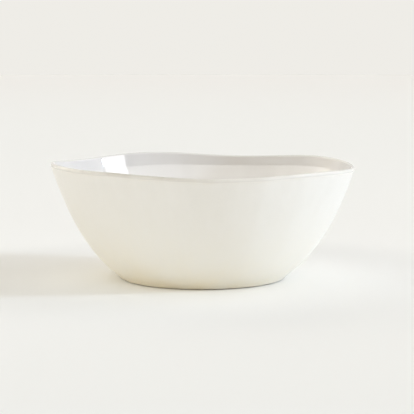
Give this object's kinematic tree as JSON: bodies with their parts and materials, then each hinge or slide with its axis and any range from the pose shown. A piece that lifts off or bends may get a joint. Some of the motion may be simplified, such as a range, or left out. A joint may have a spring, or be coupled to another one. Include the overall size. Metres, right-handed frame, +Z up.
{
  "type": "serving bowl",
  "caption": "Wide, thick-walled porcelain serving bowl with a softly waving rim, gloss glaze inside, satin glaze outside and a low bare foot ring.",
  "frame": {"origin": "centre of the foot, on the surface that the bowl stands on", "axes": "+Z up, out of the bowl's mouth. The bowl has no front: +X points to the right of the view that it was modelled from, and +Y away from it"},
  "size_m": [0.25, 0.25, 0.0963],
  "materials": {
    "porcelain": "satin",
    "bare_foot": "matte",
    "gloss_glaze": "gloss",
    "satin_glaze": "satin",
    "base_gloss": "gloss"
  },
  "bodies": {
    "root": {"porcelain_body": "porcelain", "foot_ring": "bare_foot", "inside_glaze": "gloss_glaze", "outside_glaze": "satin_glaze", "base_glaze": "base_gloss"}
  },
  "joints": []
}
